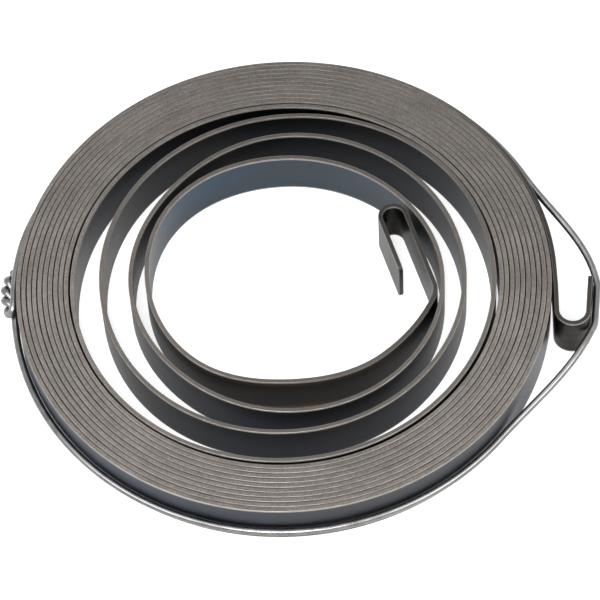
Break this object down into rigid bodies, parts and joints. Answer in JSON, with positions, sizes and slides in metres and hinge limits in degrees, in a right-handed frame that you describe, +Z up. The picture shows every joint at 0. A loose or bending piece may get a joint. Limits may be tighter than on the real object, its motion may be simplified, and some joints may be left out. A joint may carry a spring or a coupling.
{
  "type": "recoil starter spring",
  "caption": "Flat spiral spring of steel strip wound on edge, with a hook at each end, held wound by a twisted loop of tie wire; drives the rewind of a pull starter.",
  "frame": {"origin": "axis of the coil, in the plane of the strip's lower edge", "axes": "+Z up along the coil's axis, +X towards the outer hook, -Y towards the viewer of the picture"},
  "size_m": [0.0999, 0.0917, 0.0084],
  "materials": {
    "spring_steel": "hardened and tempered, dark blued faces with bare slit edges",
    "zinc_wire": "bright zinc"
  },
  "bodies": {
    "root": {"spring_strip": "spring_steel", "retaining_wire": "zinc_wire"}
  },
  "joints": []
}
